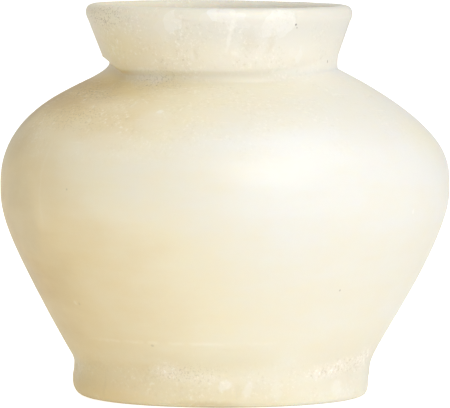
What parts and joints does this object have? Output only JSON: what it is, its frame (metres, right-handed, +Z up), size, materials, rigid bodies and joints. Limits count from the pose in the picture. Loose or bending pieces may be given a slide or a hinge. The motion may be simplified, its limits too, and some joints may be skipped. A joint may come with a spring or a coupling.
{
  "type": "canopic jar",
  "caption": "Squat hollow stone jar with a low foot, wide belly, sloping shoulder, undercut neck and flared collar, without a lid.",
  "frame": {"origin": "middle of the flat underside of the foot, below the middle of the belly, on the surface that the jar stands on", "axes": "+Z up along the jar's axis; -Y is the front; -X is the jar's left, where the neck is undercut and the foot bulges most"},
  "size_m": [0.22, 0.22, 0.1917],
  "materials": {
    "calcite_alabaster": "ground and softly polished banded calcite, cream to honey, with white crystal grains"
  },
  "bodies": {
    "root": {"jar": "calcite_alabaster"}
  },
  "joints": []
}
